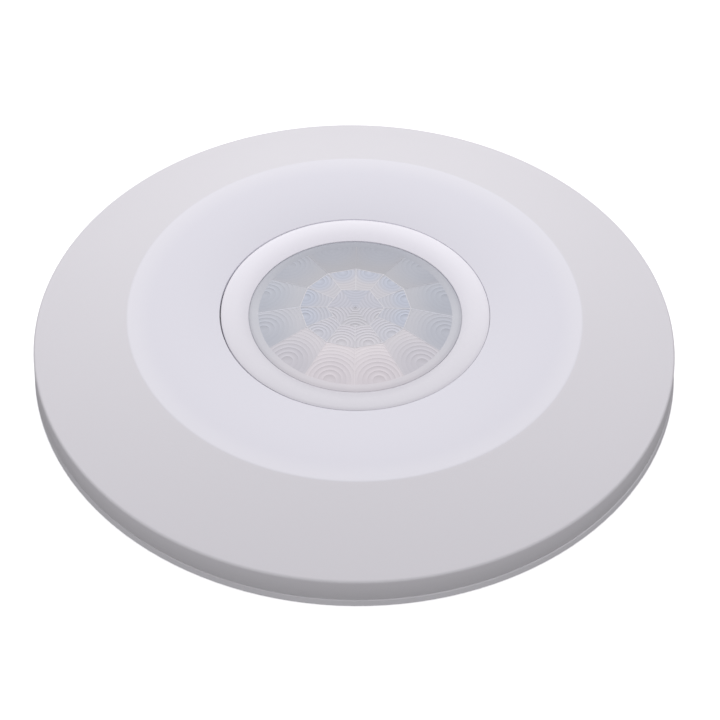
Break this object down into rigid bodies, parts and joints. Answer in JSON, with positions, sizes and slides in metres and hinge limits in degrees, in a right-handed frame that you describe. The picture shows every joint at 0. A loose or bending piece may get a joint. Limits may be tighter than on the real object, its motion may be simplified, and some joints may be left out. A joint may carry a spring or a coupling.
{
  "type": "ceiling motion sensor",
  "caption": "Flat round ceiling motion sensor: pull-off conical cover, flush ring and recessed faceted infrared lens over a back plate.",
  "frame": {"origin": "centre of the back plate's rear face, which lies on the ceiling or, as shown, on the table", "axes": "+Z out of the lens; -Y towards the cable entry and the terminals; +Y towards the three setting knobs"},
  "size_m": [0.1604, 0.1604, 0.0199],
  "materials": {
    "plate_plastic": "matte",
    "cover_plastic": "satin",
    "bezel_plastic": "satin",
    "lens_plastic": "translucent, faceted",
    "housing_plastic": "matte",
    "screw_steel": "zinc plated",
    "board_laminate": "green solder mask",
    "holder_plastic": "matte",
    "detector_steel": "bright",
    "infrared_filter": "dark, glossy",
    "lead_metal": "tinned",
    "clear_resin": "clear",
    "red_resin": "tinted",
    "trimmer_plastic": "satin",
    "knob_plastic": "satin",
    "relay_base_plastic": "matte",
    "relay_case_plastic": "satin",
    "copper_winding": "enamelled wire",
    "soft_iron": "plated",
    "contact_brass": "bright",
    "terminal_plastic": "matte",
    "grommet_rubber": "matte",
    "capacitor_box": "satin",
    "capacitor_sleeve": "shrunk sleeve",
    "varistor_coating": "dipped",
    "black_resin": "matte",
    "resistor_ceramic": "matte",
    "chip_ceramic": "matte"
  },
  "bodies": {
    "chassis": {"base_plate": "plate_plastic", "sensor_housing": "housing_plastic", "lens_bezel": "bezel_plastic", "fresnel_lens": "lens_plastic", "housing_screws": "screw_steel", "main_board": "board_laminate", "pir_holder": "holder_plastic", "pir_header": "detector_steel", "pir_can": "detector_steel", "pir_window": "infrared_filter", "pir_leads": "lead_metal", "light_sensor": "clear_resin", "indicator_led": "red_resin", "time_trimmer": "trimmer_plastic", "lux_trimmer": "trimmer_plastic", "sens_trimmer": "trimmer_plastic", "relay_base": "relay_base_plastic", "relay_case": "relay_case_plastic", "relay_coil": "copper_winding", "relay_yoke": "soft_iron", "relay_contacts": "contact_brass", "terminal_block": "terminal_plastic", "terminal_cages": "contact_brass", "terminal_screws": "screw_steel", "cable_grommet": "grommet_rubber", "suppression_capacitor": "capacitor_box", "smoothing_capacitor": "capacitor_sleeve", "varistor": "varistor_coating", "fuse": "black_resin", "bridge_rectifier": "black_resin", "dropper_resistor": "resistor_ceramic", "controller_chip": "black_resin", "amplifier_chip": "black_resin", "voltage_regulator": "black_resin", "chip_components": "chip_ceramic"},
    "cover": {"front_cover": "cover_plastic"},
    "time_setting": {"time_knob": "knob_plastic"},
    "lux_setting": {"lux_knob": "knob_plastic"},
    "sens_setting": {"sens_knob": "knob_plastic"},
    "armature": {"relay_armature": "soft_iron"}
  },
  "joints": [
    {"name": "cover_pull", "type": "slide", "parent": "chassis", "child": "cover", "axis": [0, 0, 1], "range_m": [0, 0.03]},
    {"name": "time_turn", "type": "hinge", "parent": "chassis", "child": "time_setting", "pos_m": [-0.0215, 0.03724, 0.0157], "axis": [0, 0, 1], "range_deg": [-135, 135]},
    {"name": "lux_turn", "type": "hinge", "parent": "chassis", "child": "lux_setting", "pos_m": [0, 0.043, 0.0157], "axis": [0, 0, 1], "range_deg": [-135, 135]},
    {"name": "sens_turn", "type": "hinge", "parent": "chassis", "child": "sens_setting", "pos_m": [0.0215, 0.03724, 0.0157], "axis": [0, 0, 1], "range_deg": [-135, 135]},
    {"name": "armature_pull", "type": "hinge", "parent": "chassis", "child": "armature", "pos_m": [-0.036, 0.0037, 0.0128], "axis": [-1, 0, 0], "range_deg": [0, 3.5], "stiffness_Nm_per_rad": 0.001, "springref_deg": -5.73}
  ]
}
